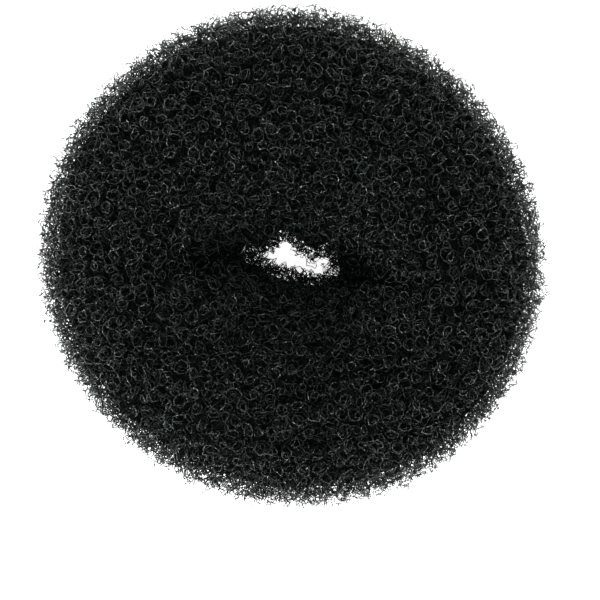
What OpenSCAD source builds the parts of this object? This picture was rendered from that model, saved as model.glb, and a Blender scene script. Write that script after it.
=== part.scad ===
// A hair donut: a ring of springy curled-nylon mesh that a bun is wrapped round.
// The mesh tube is rolled up on itself, so the ring is one padded piece, full all the way through.
// It lies on a flat surface as it lies by itself, and its hole is squeezed to a short slit.
// The centre of the resting face's outline is the origin, +Z is up and +X runs along the slit.

/* [Ring] */
// Length of the ring, along the slit
ring_length = 100; // [80:1:130]
// Width of the ring, across the slit
ring_width = 99; // [80:1:130]
// Height of the ring at its fullest
ring_height = 42; // [30:1:55]
// Squareness of the roll's section: 2 is an ellipse
roll_squareness = 2.2; // [2:0.05:2.8]
// How far the ring's own weight flattens its underside
rest_flat = 0.8; // [0.4:0.1:2]

/* [Slit] */
// Length of the hole at its throat
slit_length = 20; // [14:0.5:28]
// Width of the hole at its throat
slit_width = 8; // [6:0.5:16]
// How far the slit turns from the ring's length
slit_turn = -9; // [-15:1:15]
// How far the slit's line droops by the far end of its longer fold
slit_droop = 13; // [0:1:20]
// Place of the slit's middle along the ring
slit_along = 1; // [-4:0.5:4]
// Place of the slit's middle across the ring
slit_across = -0.5; // [-4:0.5:4]

/* [Folds] */
// Depth of the fold that runs out of each end of the slit
fold_depth = 9; // [3:0.5:12]
// Half the width of such a fold
fold_width = 3.2; // [2:0.1:5]
// How far across the ring the folds lie from the slit's line
fold_shift = 2.2; // [0:0.2:4]
// Depth of a full dent or notch in the roll
dent_depth = 3; // [0:0.5:4]

/* [Hidden] */

sections = 80;
section_points = 36;

// The ring's outline from above and the height of its crest: a row each 30 degrees, from +X on
OUTLINE = [
    // reach share, crest share
    [0.995, 0.955],
    [0.978, 0.970],
    [0.977, 0.990],
    [0.990, 1.000],
    [0.995, 0.985],
    [1.000, 0.960],
    [0.992, 0.945],
    [0.981, 0.965],
    [0.975, 0.985],
    [0.988, 0.995],
    [1.008, 0.990],
    [1.008, 0.970]
];

// The folds that run out of the slit's ends, beside the slit's line
FOLDS = [
    // side, end as a share of half the ring's length, depth share, droop share
    [-1, 0.62, 1.00, 1.00],
    [1, 0.48, 0.80, 0.15]
];

// Dents in the roll, and bulges where the depth is negative
DENTS = [
    // turn, around (the angle round the section, from its outer side), depth share,
    // spread of the turn, spread of around
    [108, 180, 0.55, 15, 45],
    [62, 175, -0.25, 16, 40],
    [262, 178, -0.25, 22, 40],
    [298, 175, 0.30, 14, 40],
    [246, 128, 0.45, 13, 30],
    [286, 120, 0.50, 15, 30],
    [68, 118, 0.25, 14, 30],
    [130, 75, 0.20, 18, 35],
    [222, 60, 0.25, 16, 40],
    [330, 80, 0.20, 20, 35],
    [40, 60, 0.20, 15, 35]
];

function square_of(x) = x * x;
function clamped(x) = min(1, max(0, x));
function eased(x) = clamped(x) * clamped(x) * (3 - 2 * clamped(x));
function total(list, i = 0) = i >= len(list) ? 0 : list[i] + total(list, i + 1);
function rounded_power(x) = sign(x) * pow(abs(x), 2 / roll_squareness);
function angle_between(a, b) = abs((a - b + 540) % 360 - 180);

// A column of OUTLINE at any turn, along a smooth closed curve through its rows
function outline_at(turn, column) =
    let (
        rows = len(OUTLINE),
        step = 360 / rows,
        at = (turn % 360) / step,
        row = floor(at),
        t = at - row,
        before = OUTLINE[(row + rows - 1) % rows][column],
        low = OUTLINE[row % rows][column],
        high = OUTLINE[(row + 1) % rows][column],
        after = OUTLINE[(row + 2) % rows][column]
    )
    low + t / 2 * (high - before
        + t * (2 * before - 5 * low + 4 * high - after
        + t * (3 * (low - high) + after - before)));
function reach_at(turn) = outline_at(turn, 0);
function crest_at(turn) = outline_at(turn, 1);

// The ring's outline from above, fitted to its length and width and centred
function loose_outline(turn) =
    reach_at(turn) * [cos(turn), sin(turn)];
function loose_reaches(axis) = [for (i = [0:sections - 1]) loose_outline(360 * i / sections)[axis]];
loose_low = [min(loose_reaches(0)), min(loose_reaches(1))];
loose_high = [max(loose_reaches(0)), max(loose_reaches(1))];
function outer_edge(turn) =
    let (p = loose_outline(turn) - (loose_low + loose_high) / 2)
    [
        p.x * ring_length / (loose_high.x - loose_low.x),
        p.y * ring_width / (loose_high.y - loose_low.y)
    ];

// How far out along a fold a place is, as a share of the fold's end
function share_out(side, end, along) =
    max(0, side * (along - slit_along)) / (end * ring_length / 2);

// The slit's line across the ring, at a distance along it
function slit_line(along) =
    slit_across + (along - slit_along) * tan(slit_turn)
        - slit_droop * total([for (fold = FOLDS)
            let (side = fold[0], end = fold[1], droop = fold[3])
            droop * pow(share_out(side, end, along), 3)]);

// The edge of the hole at its throat
function inner_edge(turn) =
    let (along = slit_along + slit_length / 2 * cos(turn))
    [along, slit_line(along) + slit_width / 2 * sin(turn)];

// How far the folds at the slit's ends lower the roll's upper side at a point
function fold_at(p) =
    fold_depth * exp(-square_of((p.y - slit_line(p.x) - fold_shift) / fold_width))
        * total([for (fold = FOLDS)
            let (
                side = fold[0],
                end = fold[1],
                depth = fold[2],
                out = share_out(side, end, p.x),
                mouth = slit_length / (end * ring_length)
            )
            out == 0 ? 0 : depth * eased((1 - out) / (1 - mouth))]);

// How far the dents draw the roll's surface in towards the middle of its section
function dent_at(turn, around) =
    dent_depth * total([for (dent = DENTS)
        let (
            turn_off = angle_between(turn, dent[0]) / dent[3],
            around_off = angle_between(around, dent[1]) / dent[4],
            depth = dent[2]
        )
        depth * exp(-square_of(turn_off) - square_of(around_off))]);

// A point of the roll's surface, by the turn round the ring and the angle round the section
function roll_point(turn, around) =
    let (
        half_height = (ring_height + rest_flat) / 2,
        inner = inner_edge(turn),
        outer = outer_edge(turn),
        half_roll = norm(outer - inner) / 2,
        outward = (outer - inner) / norm(outer - inner),
        dent = dent_at(turn, around),
        out = (half_roll - dent) * rounded_power(cos(around)),
        crest = sin(around) > 0 ? crest_at(turn) : 1,
        up = (half_height * crest - dent) * rounded_power(sin(around)),
        place = (inner + outer) / 2 + outward * out,
        fold = fold_at(place) * eased(sin(around))
    )
    [place.x, place.y, max(0, half_height - rest_flat + up - fold)];

module mesh_ring() {
    points = [
        for (i = [0:sections - 1])
            for (j = [0:section_points - 1])
                roll_point(360 * i / sections, 360 * j / section_points)
    ];
    faces = [
        for (i = [0:sections - 1])
            for (j = [0:section_points - 1])
                let (
                    next_i = (i + 1) % sections,
                    next_j = (j + 1) % section_points
                )
                each [
                    [
                        i * section_points + j,
                        i * section_points + next_j,
                        next_i * section_points + next_j
                    ],
                    [
                        i * section_points + j,
                        next_i * section_points + next_j,
                        next_i * section_points + j
                    ]
                ]
    ];
    color("#15191a")
        polyhedron(points = points, faces = faces, convexity = 6);
}

mesh_ring();
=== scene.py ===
import math

import bmesh
import bpy
from mathutils import Matrix, Vector, noise
from mathutils.bvhtree import BVHTree


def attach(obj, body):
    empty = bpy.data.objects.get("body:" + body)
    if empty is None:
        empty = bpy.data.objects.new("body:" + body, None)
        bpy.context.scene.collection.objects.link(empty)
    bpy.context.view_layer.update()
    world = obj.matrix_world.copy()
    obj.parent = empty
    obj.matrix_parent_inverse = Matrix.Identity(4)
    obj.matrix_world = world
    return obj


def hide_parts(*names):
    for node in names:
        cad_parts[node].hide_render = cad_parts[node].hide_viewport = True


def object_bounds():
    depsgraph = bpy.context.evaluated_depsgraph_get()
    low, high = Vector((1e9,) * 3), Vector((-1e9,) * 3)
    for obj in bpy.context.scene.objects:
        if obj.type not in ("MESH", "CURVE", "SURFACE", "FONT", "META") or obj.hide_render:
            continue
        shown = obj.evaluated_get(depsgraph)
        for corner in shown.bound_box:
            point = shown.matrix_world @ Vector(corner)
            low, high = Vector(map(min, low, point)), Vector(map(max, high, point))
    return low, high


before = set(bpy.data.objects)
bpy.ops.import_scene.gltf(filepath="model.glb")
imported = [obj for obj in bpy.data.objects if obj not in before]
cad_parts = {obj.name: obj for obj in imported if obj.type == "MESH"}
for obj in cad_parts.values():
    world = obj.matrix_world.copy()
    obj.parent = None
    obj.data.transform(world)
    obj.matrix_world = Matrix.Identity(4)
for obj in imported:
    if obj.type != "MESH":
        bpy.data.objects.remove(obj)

# A hair donut of curled nylon mesh: a packed core under layers of loose curls.
# Everything is in metres in the part's frame: the ring lies on z = 0 and its slit runs along X.

cad_low, cad_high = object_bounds()
MM = 0.001
FULL_TURN = 2 * math.pi

# The slit's middle, at the ring's throat, which lies a little under half the ring's height
THROAT_DROP = 0.4 * MM
SLIT_MIDDLE = Vector((1 * MM, -0.5 * MM, cad_high.z / 2 - THROAT_DROP))

# Where the slit's edge bulges in or draws back, beyond the CAD solid's own. The last two rows close up
# the walls of the fold that runs out of its right end.
SLIT_SWELLS = [
    # x mm, y mm, push along x mm, push along y mm, spread mm
    (-8.2, 2.4, 0.0, 0.7, 1.6),
    (-5.6, 3.2, 0.0, -2.4, 2.4),
    (-3.0, 3.6, 0.0, -1.8, 1.5),
    (-0.6, 3.8, 0.0, 1.2, 1.2),
    (3.0, 2.6, 0.0, -1.2, 1.7),
    (7.6, 2.2, 0.0, 1.6, 1.6),
    (11.0, -2.0, -2.5, 0.2, 2.8),
    (7.4, -4.8, 0.0, 1.3, 2.2),
    (0.2, -4.2, 0.0, -0.5, 2.0),
    (-6.6, -1.6, 0.0, 1.4, 2.0),
    (17.0, 1.6, 0.0, -1.1, 2.8),
    (17.0, -4.4, 0.0, 1.1, 2.8),
]

# Points of the CAD solid that are one point of the skin lie closer together than this
MERGE_DISTANCE = 0.001 * MM

# How openness is felt out, for the nylon's painted shade in the ring's folds and throat: by rays that start
# just over the skin and reach this far
OPEN_RAYS = 48
OPEN_REACH = 14 * MM
OPEN_START = 0.3 * MM

# A face counts as the underside's by how far it looks down, times a gain, less this
UNDER_START = 0.2

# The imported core: how far it lies under the ring's skin, and how far by the slit, on the underside and
# over the table. A gain is how soon such a place takes its own depth.
CORE_DEPTH = 3.5 * MM
CORE_SLIT_DEPTH = 1.0 * MM
CORE_SLIT_REACH = 16 * MM
CORE_SLIT_GAIN = 3
CORE_UNDER_DEPTH = 1.6 * MM
CORE_UNDER_GAIN = 2.0
CORE_REST_CLEARANCE = 0.4 * MM

# The core's lumps: their height, how many lie in a metre, and their noise's fall-off, gap and octaves
LUMP_HEIGHT = 0.8 * MM
LUMP_SCALE = 260
LUMP_NOISE = (1.0, 2.0, 3)

# Layers of curls, from the outside in
CURL_LAYERS = [
    # name, mean depth mm, depth spread mm, curl radius mm, spacing mm, seed
    ("curls_outer", -0.20, 0.60, 1.0, 2.62, 11),
    ("curls_second", 0.70, 0.36, 1.0, 2.34, 23),
    ("curls_third", 1.40, 0.36, 1.0, 2.29, 37),
    ("curls_fourth", 2.05, 0.40, 1.0, 2.30, 41),
    ("curls_inner", 2.75, 0.40, 1.0, 2.31, 59),
]

# The sizes that all the layers share
CURL_SIZES = {
    "Underside Share": 0.7,
    "Points per Curl": 12,
    "Curl Tilt": 0.7,
    "Bend": 0.32 * MM,
    "Kink": 0.07 * MM,
    "Slit Middle": SLIT_MIDDLE,
    "Slit Reach": 17 * MM,
    "Slit Fill": 2.6 * MM,
    "Slit Packing": 0.9,
    "Slit Shrink": 0.35,
    "Light Reach": 2.0 * MM,
    "Filament Radius": 0.088 * MM,
}

# How the curls are scattered: tries for each square of the spacing, and the underside's gain
SPOT_TRIES = 12.0
CURL_UNDER_GAIN = 1.6

# How much the distance from the slit's middle counts along X, Y and Z
SLIT_SHARES = (1.0, 1.6, 0.5)

# What chance gives each curl: its wide loop's share of the curl radius, its narrow loop's share of the
# wide one, and its share of the slit's fill
WIDE_SHARES = (0.55, 1.15)
NARROW_SHARES = (0.2, 0.95)
FILL_SHARES = (0.2, 1.3)

# How far a curl rises and falls, twice and four times on its way round, as shares of the curl radius
RISE_TWICE = 0.35
RISE_FOUR_TIMES = 0.3

# The smooth noise that bends and kinks the curls: how many waves lie in a metre, and its middle, from
# which it strays by about a quarter
BEND_SCALE = 420.0
KINK_SCALE = 750.0
NOISE_MIDDLE = (0.5, 0.5, 0.5)
NOISE_GAIN = 4.0

# The sides of the filament's section, and how many of its radii its middle keeps above the table
FILAMENT_SIDES = 3
FOOT_CLEARANCE = 1.5

# The nylon's colour on the loosest, fully lit curls, and its painted shade on the deepest; and the core's
# curls and gaps, darkened as painted shade of their depth
NYLON_LIT = (0.0204, 0.0257, 0.0238, 1)
NYLON_PAINTED_SHADE = (0.0003, 0.0007, 0.0006, 1)
CORE_CURL_PAINTED_SHADE = (0.0045, 0.0057, 0.0052, 1)
CORE_GAP_PAINTED_SHADE = (0.0005, 0.0007, 0.0006, 1)
NYLON_IOR = 1.53

# The crimp that breaks up the gleams, and the nylon's share of colour and coat with no gleam on it, and what
# a gleam adds: in the colour a painted highlight, in the coat real gloss
CRIMP_SCALE = 2500.0
GLEAM_START = 0.45
GLEAM_GAIN = 6.0
DULL_COLOUR = 0.2
PAINTED_GLEAM_COLOUR = 1.15
DULL_COAT = 0.35
GLEAM_COAT = 0.95

# The rings of filament that the core's material draws, dimmed as painted shade, how they are bent and raised,
# and how rough the gaps are and how much smoother the rings
CORE_RINGS = [
    # scale, size, shift, strength
    (420.0, 0.42, (0.0, 0.0, 0.0), 1.0),
    (560.0, 0.36, (0.013, 0.007, 0.003), 0.8),
    (340.0, 0.50, (0.031, 0.017, 0.023), 0.9),
]
RING_SHARPNESS = 9.0
RING_BEND_SCALE = 500.0
RING_BEND = 1.2 * MM
RING_HEIGHT = 0.6 * MM
GAP_ROUGHNESS = 0.62
RING_SMOOTHNESS = 0.2

# The pale lit table: half its width, its shade and its glow
FLOOR_REACH = 4.0
FLOOR_SHADE = 0.9
FLOOR_GLOW = 0.95

# The photograph's frame: its pixels to a millimetre, its lean over the ring's far side, and how many
# pixels right of the ring's middle and below it the frame's middle lies
PHOTO_PIXELS = 600
PIXELS_PER_MM = 5.0
PIXELS_RIGHT = 8.2
PIXELS_DOWN = 41.9
CAMERA_LEAN = math.radians(8)
CAMERA_DISTANCE = 0.6
SENSOR_WIDTH = 36

# Soft round lamps, all aimed at the ring's middle
LAMPS = [
    # name, place, power
    ("key", (-0.05, -0.05, 0.95), 4.4),
    ("left", (-0.70, -0.50, 0.25), 12),
    ("right", (0.50, -0.50, 0.45), 5.5),
    ("far", (0.0, 0.64, 0.50), 6),
]
LAMP_SIZE = 0.20
LAMP_AIM = (0, 0, 0.02)
SURROUNDINGS = 0.40


def is_vector(value):
    """Whether a value is a wire that carries a vector or a colour."""
    return isinstance(value, Wire) and value.socket.type in {"VECTOR", "RGBA"}


def socket_of(sockets, key):
    """A node's socket, by its identifier or else by its name or number."""
    known = {socket.identifier: socket for socket in sockets}
    return known[key] if key in known else sockets[key]


class Wire:
    """One output of a node. Arithmetic on it adds the nodes: Math for a value, Vector Math for a vector."""

    def __init__(self, tree, socket):
        self.tree = tree
        self.socket = socket

    def output(self, name):
        """Another output of the same node."""
        return Wire(self.tree, self.socket.node.outputs[name])

    def combined(self, operation, first, second):
        """The node for one operation on two values, of which one or both are wires."""
        if not is_vector(first) and not is_vector(second):
            return self.tree.value(operation, first, second)
        factors = [value for value in (first, second) if not is_vector(value)]
        if operation == "MULTIPLY" and factors and not isinstance(factors[0], (tuple, Vector)):
            scaled = second if factors[0] is first else first
            inputs = {0: scaled, "Scale": factors[0]}
            return self.tree.add("ShaderNodeVectorMath", {"operation": "SCALE"}, inputs)
        return self.tree.vector(operation, first, second)

    def __add__(self, other):
        return self.combined("ADD", self, other)

    def __radd__(self, other):
        return self.combined("ADD", other, self)

    def __sub__(self, other):
        return self.combined("SUBTRACT", self, other)

    def __rsub__(self, other):
        return self.combined("SUBTRACT", other, self)

    def __mul__(self, other):
        return self.combined("MULTIPLY", self, other)

    def __rmul__(self, other):
        return self.combined("MULTIPLY", other, self)

    def __truediv__(self, other):
        return self.combined("DIVIDE", self, other)

    def __rtruediv__(self, other):
        return self.combined("DIVIDE", other, self)


class Tree:
    """Adds nodes to a geometry group or to a material's nodes."""

    def __init__(self, group):
        self.group = group

    def feed(self, socket, value):
        """Links a wire to a socket, or sets the socket's own value."""
        if isinstance(value, Wire):
            self.group.links.new(value.socket, socket)
        else:
            socket.default_value = value

    def add(self, kind, settings=None, inputs=None, output=0):
        """A node of a type, with its settings set first, then its sockets, as the wire of one output."""
        node = self.group.nodes.new(kind)
        for name, value in (settings or {}).items():
            setattr(node, name, value)
        for key, value in (inputs or {}).items():
            self.feed(socket_of(node.inputs, key), value)
        return Wire(self, socket_of(node.outputs, output)) if node.outputs else None

    def value(self, operation, *inputs):
        """An operation on plain values."""
        return self.add("ShaderNodeMath", {"operation": operation}, dict(enumerate(inputs)))

    def vector(self, operation, *inputs, output=0):
        """An operation on vectors."""
        return self.add("ShaderNodeVectorMath", {"operation": operation}, dict(enumerate(inputs)), output)

    def sine(self, angle):
        return self.value("SINE", angle)

    def cosine(self, angle):
        return self.value("COSINE", angle)

    def larger(self, first, second):
        return self.value("MAXIMUM", first, second)

    def limited(self, value):
        """A value kept between 0 and 1."""
        return self.value("MINIMUM", self.larger(value, 0.0), 1.0)

    def joined(self, x, y, z):
        """A vector from its x, y and z."""
        return self.add("ShaderNodeCombineXYZ", None, {0: x, 1: y, 2: z})

    def parts(self, vector):
        """The x, y and z of a vector."""
        x = self.add("ShaderNodeSeparateXYZ", None, {0: vector})
        return x, x.output("Y"), x.output("Z")

    def mixed(self, share, first, second):
        """A colour between two, by the second one's share."""
        return self.add(
            "ShaderNodeMix",
            {"data_type": "RGBA"},
            {"Factor_Float": share, "A_Color": first, "B_Color": second},
            "Result_Color",
        )

    def captured(self, geometry, kind, value):
        """The geometry, and a value as it is at its points now."""
        node = self.group.nodes.new("GeometryNodeCaptureAttribute")
        node.domain = "POINT"
        node.capture_items.new(kind, "Kept")
        self.feed(node.inputs[0], geometry)
        self.feed(node.inputs["Kept"], value)
        return Wire(self, node.outputs[0]), Wire(self, node.outputs["Kept"])


# The inputs of the node group that makes a layer of curls
CURL_INPUTS = [
    ("Skin", "NodeSocketGeometry"),
    ("Spacing", "NodeSocketFloat"),
    ("Underside Share", "NodeSocketFloat"),
    ("Points per Curl", "NodeSocketInt"),
    ("Curl Radius", "NodeSocketFloat"),
    ("Curl Tilt", "NodeSocketFloat"),
    ("Bend", "NodeSocketFloat"),
    ("Kink", "NodeSocketFloat"),
    ("Depth", "NodeSocketFloat"),
    ("Depth Spread", "NodeSocketFloat"),
    ("Slit Middle", "NodeSocketVector"),
    ("Slit Reach", "NodeSocketFloat"),
    ("Slit Fill", "NodeSocketFloat"),
    ("Slit Packing", "NodeSocketFloat"),
    ("Slit Shrink", "NodeSocketFloat"),
    ("Light Reach", "NodeSocketFloat"),
    ("Filament Radius", "NodeSocketFloat"),
    ("Seed", "NodeSocketInt"),
    ("Finish", "NodeSocketMaterial"),
]


class CurlTree(Tree):
    """Scatters curls over the ring's skin, and draws each as a closed line of filament."""

    def __init__(self, group):
        super().__init__(group)
        self.given = self.add("NodeGroupInput").output
        normal = self.add("GeometryNodeInputNormal")
        skin, skin_out = self.captured(self.given("Skin"), "VECTOR", normal)
        self.spots = self.scattered_spots(skin, skin_out)
        self.circles = self.circle_at_each_spot()
        self.which = self.circles.output("Duplicate Index")
        self.place = self.at_spot("FLOAT_VECTOR", self.add("GeometryNodeInputPosition"))
        self.out = self.vector("NORMALIZE", self.at_spot("FLOAT_VECTOR", skin_out))
        self.near_slit = self.nearness_to_slit()

    def scattered_spots(self, skin, skin_out):
        """The curls' spots, evenly over the skin, with fewer of them on its underside."""
        spacing = self.given("Spacing")
        downward = self.limited(0.0 - self.parts(skin_out)[2] * CURL_UNDER_GAIN - UNDER_START)
        return self.add(
            "GeometryNodeDistributePointsOnFaces",
            {"distribute_method": "POISSON"},
            {
                "Mesh": skin,
                "Distance Min": spacing,
                "Density Max": SPOT_TRIES / (spacing * spacing),
                "Density Factor": 1.0 - downward * (1.0 - self.given("Underside Share")),
                "Seed": self.given("Seed"),
            },
        )

    def circle(self, points, radius):
        inputs = {"Resolution": points, "Radius": radius}
        return self.add("GeometryNodeCurvePrimitiveCircle", {"mode": "RADIUS"}, inputs)

    def circle_at_each_spot(self):
        """As many circles as there are spots, for the curls to be drawn from."""
        size = {"component": "POINTCLOUD"}
        count = self.add("GeometryNodeAttributeDomainSize", size, {"Geometry": self.spots})
        inputs = {"Geometry": self.circle(self.given("Points per Curl"), 1.0), "Amount": count}
        return self.add("GeometryNodeDuplicateElements", {"domain": "SPLINE"}, inputs)

    def at_spot(self, kind, value):
        """A value as it is at the curl's own spot."""
        return self.add(
            "GeometryNodeSampleIndex",
            {"data_type": kind, "domain": "POINT"},
            {"Geometry": self.spots, "Value": value, "Index": self.which},
        )

    def nearness_to_slit(self):
        """1 for a curl at the slit's middle, down to 0 for one beyond the slit's reach."""
        off_slit = (self.place - self.given("Slit Middle")) * SLIT_SHARES
        distance = self.vector("LENGTH", off_slit, output="Value")
        return self.larger(1.0 - distance / self.given("Slit Reach"), 0.0)

    def chance(self, low, high, salt):
        """A value for each curl, anywhere between two. Each thing that chance gives has its own salt."""
        return self.add(
            "FunctionNodeRandomValue",
            {"data_type": "FLOAT"},
            {"Min_001": low, "Max_001": high, "ID": self.which, "Seed": self.given("Seed") + salt},
            "Value_001",
        )

    def wavered(self, spot, scale, reach):
        """A spot moved by smooth noise, by about this reach."""
        waver = self.add(
            "ShaderNodeTexNoise",
            {"noise_dimensions": "3D"},
            {"Vector": spot, "Scale": scale, "Detail": 0.0},
            "Color",
        )
        return spot + (waver - NOISE_MIDDLE) * (reach * NOISE_GAIN)

    def loop_plane(self):
        """The two directions that a curl's loops span: along the skin, and tilted out of it by chance."""
        facing = self.joined(*[self.chance(-1.0, 1.0, salt) for salt in (1, 2, 3)])
        side = self.vector("NORMALIZE", self.vector("CROSS_PRODUCT", self.out, facing))
        ahead = self.vector("CROSS_PRODUCT", self.out, side)
        tilt = self.chance(-1.0, 1.0, 4) * self.given("Curl Tilt")
        lean = self.chance(-1.0, 1.0, 5) * self.given("Curl Tilt")
        side = side * self.cosine(tilt) + self.out * self.sine(tilt)
        ahead = ahead * self.cosine(lean) + self.out * self.sine(lean)
        return side, ahead

    def curled(self):
        """A curl's points about its spot: a closed line that goes round in a wide and a narrow loop."""
        radius = self.given("Curl Radius")
        side, ahead = self.loop_plane()
        angle = self.add("GeometryNodeSplineParameter") * FULL_TURN
        shrink = 1.0 - self.given("Slit Shrink") * self.near_slit
        wide = radius * self.chance(*WIDE_SHARES, 8) * shrink
        narrow = wide * self.chance(*NARROW_SHARES, 7)
        narrow_angle = self.chance(0.0, FULL_TURN, 9) + angle * 2.0
        rise = radius * (
            RISE_TWICE * self.sine(angle * 2.0 + self.chance(0.0, FULL_TURN, 10))
            + RISE_FOUR_TIMES * self.sine(angle * 4.0 + self.chance(0.0, FULL_TURN, 11))
        )
        return (
            side * (wide * self.cosine(angle) + narrow * self.cosine(narrow_angle))
            + ahead * (wide * self.sine(angle) + narrow * self.sine(narrow_angle))
            + self.out * rise
        )

    def settled(self, spot):
        """A spot kept above the table."""
        x, y, z = self.parts(spot)
        return self.joined(x, y, self.larger(z, self.given("Filament Radius") * FOOT_CLEARANCE))

    def light_at(self, height):
        """The painted light share at a point, which the nylon's colour and coat take as painted shade: less
        the deeper it lies, and the less open the ring's form is.
        """
        named = self.add("GeometryNodeInputNamedAttribute", {"data_type": "FLOAT"}, {"Name": "open"})
        depth_share = self.value("EXPONENT", height / self.given("Light Reach"))
        return self.value("MINIMUM", depth_share, 1.0) * self.at_spot("FLOAT", named)

    def filament(self):
        """The curls as a mesh, laid at their depth, packed and filled in by the slit, bent and kinked."""
        packing = 1.0 - self.near_slit * self.given("Slit Packing")
        depth = self.given("Depth Spread") * self.chance(-1.0, 1.0, 12) - self.given("Depth")
        level = self.out * (depth * packing)
        fill = self.out * (self.given("Slit Fill") * self.near_slit * self.chance(*FILL_SHARES, 13))
        spot = self.place + level + fill + self.curled()
        spot = self.wavered(spot, BEND_SCALE, self.given("Bend"))
        spot = self.wavered(spot, KINK_SCALE, self.given("Kink"))
        height = self.vector("DOT_PRODUCT", spot - self.place - fill, self.out, output="Value")
        # The light share stored here is painted shade: it darkens the deeper curls and those in the ring's
        # folds and throat.
        drawn = self.add(
            "GeometryNodeStoreNamedAttribute",
            {"data_type": "FLOAT", "domain": "POINT"},
            {"Geometry": self.circles, "Name": "light", "Value": self.light_at(height)},
        )
        profile = self.circle(FILAMENT_SIDES, self.given("Filament Radius"))
        for kind, inputs in [
            ("GeometryNodeSetPosition", {"Position": self.settled(spot)}),
            ("GeometryNodeCurveToMesh", {"Profile Curve": profile}),
            ("GeometryNodeSetShadeSmooth", {"Shade Smooth": True}),
            ("GeometryNodeRealizeInstances", {}),
            ("GeometryNodeSetMaterial", {"Material": self.given("Finish")}),
        ]:
            drawn = self.add(kind, None, {0: drawn} | inputs)
        return drawn


def curl_group():
    """The node group that makes a layer of curls."""
    group = bpy.data.node_groups.new("curled filament", "GeometryNodeTree")
    for name, kind in CURL_INPUTS:
        group.interface.new_socket(name=name, in_out="INPUT", socket_type=kind)
    group.interface.new_socket(name="Filament", in_out="OUTPUT", socket_type="NodeSocketGeometry")
    tree = CurlTree(group)
    tree.add("NodeGroupOutput", None, {"Filament": tree.filament()})
    return group


def placed(name, data):
    """A new object in the scene."""
    piece = bpy.data.objects.new(name, data)
    bpy.context.scene.collection.objects.link(piece)
    return piece


def laid_curls(name, skin, group, sizes):
    """A layer of curls: the group's result on a copy of the ring's skin, with these sizes, as a mesh."""
    piece = placed(name, skin.copy())
    modifier = piece.modifiers.new("curls", "NODES")
    modifier.node_group = group
    for item in group.interface.items_tree:
        if item.in_out == "INPUT" and item.name in sizes:
            modifier[item.identifier] = sizes[item.name]
    bpy.context.view_layer.update()
    graph = bpy.context.evaluated_depsgraph_get()
    made = bpy.data.meshes.new_from_object(piece.evaluated_get(graph), depsgraph=graph)
    made.name = name
    piece.modifiers.remove(modifier)
    piece.data = made
    return piece


def open_rays():
    """Directions spread evenly by the cosine of their angle over the half of space on +Z's side."""
    rays = []
    for i in range(OPEN_RAYS):
        height = math.sqrt(1 - (i + 0.5) / OPEN_RAYS)
        turn = i * math.pi * (3 - math.sqrt(5))
        flat = math.sqrt(1 - height * height)
        rays.append(Vector((flat * math.cos(turn), flat * math.sin(turn), height)))
    return rays


def open_shares(shell):
    """How open the ring's form is at each point: the share of directions with nothing close in the way, by
    which the nylon's painted shade darkens the folds and the throat.
    """
    walls = BVHTree.FromBMesh(shell)
    rays = open_rays()
    shares = []
    for point in shell.verts:
        turned = point.normal.to_track_quat("Z", "Y")
        start = point.co + point.normal * OPEN_START
        free = sum(walls.ray_cast(start, turned @ ray, OPEN_REACH)[0] is None for ray in rays)
        shares.append(free / OPEN_RAYS)
    return shares


def merged_ring(name):
    """The CAD solid's copy, merged into one smooth skin with the slit's swells, that knows how open it is,
    for the painted shade in its folds.
    """
    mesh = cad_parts["mesh_ring"].data.copy()
    mesh.name = name
    shell = bmesh.new()
    shell.from_mesh(mesh)
    bmesh.ops.remove_doubles(shell, verts=shell.verts, dist=MERGE_DISTANCE)
    bmesh.ops.recalc_face_normals(shell, faces=shell.faces)
    for face in shell.faces:
        face.smooth = True
    swells = [[size * MM for size in row] for row in SLIT_SWELLS]
    for point in shell.verts:
        for x, y, push_x, push_y, spread in swells:
            off = Vector((point.co.x - x, point.co.y - y)).length / spread
            point.co += Vector((push_x, push_y, 0)) * math.exp(-off * off)
    shell.normal_update()
    shares = open_shares(shell)
    shell.to_mesh(mesh)
    shell.free()
    mesh.materials.clear()
    mesh.attributes.new("open", "FLOAT", "POINT").data.foreach_set("value", shares)
    return mesh


def core_place(point):
    """Where a point of the skin lies on the core: drawn in, less by the slit and on the underside."""
    lump = noise.fractal(point.co * LUMP_SCALE, *LUMP_NOISE)
    near_slit = max(0.0, 1.0 - (point.co - SLIT_MIDDLE).to_2d().length / CORE_SLIT_REACH)
    downward = min(1.0, max(0.0, -CORE_UNDER_GAIN * point.normal.z - UNDER_START))
    depth = min(
        CORE_DEPTH + (CORE_SLIT_DEPTH - CORE_DEPTH) * min(1.0, near_slit * CORE_SLIT_GAIN),
        CORE_DEPTH + (CORE_UNDER_DEPTH - CORE_DEPTH) * downward,
    )
    place = point.co - point.normal * (depth + LUMP_HEIGHT * lump)
    place.z = max(place.z, CORE_REST_CLEARANCE)
    return place


def packed_core(skin, finish):
    """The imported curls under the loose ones: the ring's form drawn in, with a lumpy face."""
    core = placed("mesh_core", skin.copy())
    shell = bmesh.new()
    shell.from_mesh(core.data)
    bmesh.ops.subdivide_edges(shell, edges=shell.edges, cuts=1, use_grid_fill=True)
    shell.normal_update()
    places = [core_place(point) for point in shell.verts]
    for point, place in zip(shell.verts, places):
        point.co = place
    shell.to_mesh(core.data)
    shell.free()
    core.data.materials.append(finish)
    return core


def new_finish(name):
    """A new material, its tree, and its main shader node."""
    material = bpy.data.materials.new(name)
    material.use_nodes = True
    return material, Tree(material.node_tree), material.node_tree.nodes["Principled BSDF"]


def set_shader(tree, shader, values):
    """Sets or links the main shader's sockets."""
    for name, value in values.items():
        tree.feed(shader.inputs[name], value)


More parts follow.
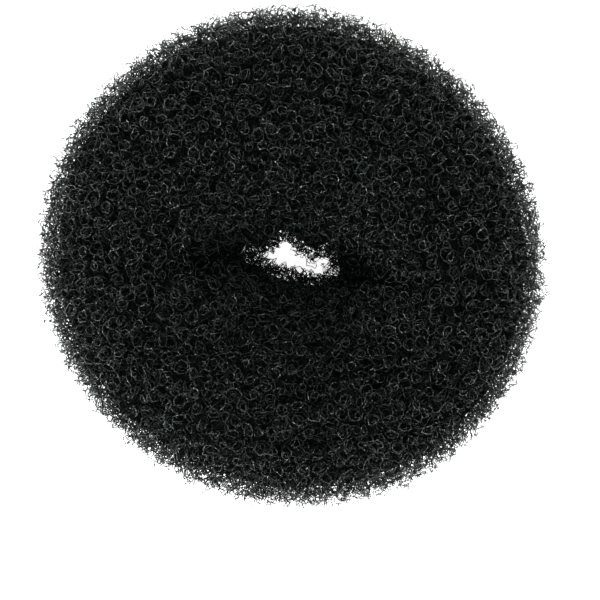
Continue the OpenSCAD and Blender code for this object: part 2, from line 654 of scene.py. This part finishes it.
def loose_nylon():
    """Black nylon filament with a faint cool green cast. Its colour and coat carry painted shade, dimmer the
    deeper it lies and the less open the ring's form is, and its colour carries painted broken gleams.
    """
    material, tree, shader = new_finish("curled_nylon")
    place = tree.add("ShaderNodeTexCoord", None, None, "Object")
    light = tree.add("ShaderNodeAttribute", {"attribute_name": "light"}, None, "Fac")
    crimp = tree.add("ShaderNodeTexNoise", None, {"Vector": place, "Scale": CRIMP_SCALE, "Detail": 0.0})
    # Broken gleams from crimp noise: in the base colour they are a painted highlight, in the coat weight real
    # gloss
    gleam = tree.limited((crimp - GLEAM_START) * GLEAM_GAIN)
    # The colour's painted light: painted shade from the light share, raised by the painted gleams; the coat
    # dims with the painted shade too
    painted_light_share = light * (DULL_COLOUR + PAINTED_GLEAM_COLOUR * gleam)
    values = {
        "Base Color": tree.mixed(painted_light_share, NYLON_PAINTED_SHADE, NYLON_LIT),
        "Roughness": 0.45,
        "Specular IOR Level": 0.018,
        "Coat Weight": light * light * (DULL_COAT + GLEAM_COAT * gleam),
        "Coat Roughness": 0.2,
        "Coat IOR": NYLON_IOR,
        "Coat Tint": (0.86, 1.0, 0.95, 1),
    }
    set_shader(tree, shader, values)
    return material


def packed_nylon():
    """Curls packed too deep to be told apart: rings of filament over gaps, both darkened as painted shade of
    their depth, the rings dim and the gaps nearly black.
    """
    material, tree, shader = new_finish("packed_nylon")
    place = tree.add("ShaderNodeTexCoord", None, None, "Object")
    noise_inputs = {"Vector": place, "Scale": RING_BEND_SCALE, "Detail": 2.0}
    waver = tree.add("ShaderNodeTexNoise", None, noise_inputs, "Color")
    bent = place + (waver - NOISE_MIDDLE) * RING_BEND

    def rings(scale, size, shift):
        """Thin rings about scattered points: 1 on a ring's filament, 0 off it."""
        cells = tree.add(
            "ShaderNodeTexVoronoi",
            {"voronoi_dimensions": "3D", "feature": "F1"},
            {"Vector": bent + shift, "Scale": scale},
            "Distance",
        )
        return tree.larger(1.0 - tree.value("ABSOLUTE", cells - size) * RING_SHARPNESS, 0.0)

    filament = 0.0
    for scale, size, shift, strength in CORE_RINGS:
        filament = tree.larger(filament, rings(scale, size, shift) * strength)
    bump_inputs = {"Height": filament, "Strength": 0.9, "Distance": RING_HEIGHT}
    # The rings' pattern is the packed filament's own; their dimness and the near-black gaps are painted shade
    # of depth
    values = {
        "Base Color": tree.mixed(filament, CORE_GAP_PAINTED_SHADE, CORE_CURL_PAINTED_SHADE),
        "Roughness": GAP_ROUGHNESS - RING_SMOOTHNESS * filament,
        "Normal": tree.add("ShaderNodeBump", None, bump_inputs),
        "IOR": NYLON_IOR,
        "Specular IOR Level": 0.0,
    }
    set_shader(tree, shader, values)
    return material


def pale_floor():
    """A plain pale lit table."""
    material, tree, shader = new_finish("pale_floor")
    values = {
        "Base Color": (FLOOR_SHADE, FLOOR_SHADE, FLOOR_SHADE, 1),
        "Roughness": 0.9,
        "Emission Color": (1.0, 1.0, 1.0, 1),
        "Emission Strength": FLOOR_GLOW,
    }
    set_shader(tree, shader, values)
    mesh = bpy.data.meshes.new("floor")
    sides = [(-1, -1), (1, -1), (1, 1), (-1, 1)]
    corners = [(x * FLOOR_REACH, y * FLOOR_REACH, 0) for x, y in sides]
    mesh.from_pydata(corners, [], [(0, 1, 2, 3)])
    mesh.materials.append(material)
    placed("floor", mesh)


def soft_lamp(name, place, power):
    """A round lamp at a place, turned to the ring's middle."""
    lamp = bpy.data.lights.new(name, "AREA")
    lamp.shape = "DISK"
    lamp.size = LAMP_SIZE
    lamp.energy = power
    light = placed(name, lamp)
    light.location = place
    light.rotation_mode = "QUATERNION"
    light.rotation_quaternion = (Vector(place) - Vector(LAMP_AIM)).to_track_quat("Z", "Y")


def photo_camera():
    """Looks down on the ring, leaning a little over its far side, with the ring up and left of the middle."""
    toward = Vector((0, math.sin(CAMERA_LEAN), math.cos(CAMERA_LEAN)))
    up = Vector((0, math.cos(CAMERA_LEAN), -math.sin(CAMERA_LEAN)))
    right = up.cross(toward)
    frame_width = PHOTO_PIXELS / PIXELS_PER_MM * MM
    frame_right = PIXELS_RIGHT / PIXELS_PER_MM * MM
    frame_down = PIXELS_DOWN / PIXELS_PER_MM * MM
    aim = Vector((0, 0, SLIT_MIDDLE.z)) + right * frame_right - up * frame_down
    camera = placed("camera", bpy.data.cameras.new("camera"))
    camera.data.sensor_width = SENSOR_WIDTH
    camera.data.lens = SENSOR_WIDTH * CAMERA_DISTANCE / frame_width
    turned = Matrix((right, up, toward)).transposed().to_4x4()
    camera.matrix_world = Matrix.Translation(aim + toward * CAMERA_DISTANCE) @ turned
    bpy.context.scene.camera = camera


def soft_surroundings():
    """Even white light from all round."""
    world = bpy.data.worlds.new("surroundings")
    world.use_nodes = True
    background = world.node_tree.nodes["Background"]
    background.inputs["Color"].default_value = (1, 1, 1, 1)
    background.inputs["Strength"].default_value = SURROUNDINGS
    bpy.context.scene.world = world


skin = merged_ring("skin")
core = packed_core(skin, packed_nylon())
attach(core, "root")
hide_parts("mesh_ring")

curl_maker = curl_group()
nylon = loose_nylon()
for name, depth, depth_spread, curl_radius, spacing, seed in CURL_LAYERS:
    layer_sizes = {
        "Spacing": spacing * MM,
        "Curl Radius": curl_radius * MM,
        "Depth": depth * MM,
        "Depth Spread": depth_spread * MM,
        "Seed": seed,
        "Finish": nylon,
    }
    layer = laid_curls(name, skin, curl_maker, CURL_SIZES | layer_sizes)
    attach(layer, "root")
bpy.data.meshes.remove(skin)

pale_floor()
for lamp_name, lamp_place, lamp_power in LAMPS:
    soft_lamp(lamp_name, lamp_place, lamp_power)
soft_surroundings()
photo_camera()
bpy.context.scene.view_settings.view_transform = "Standard"
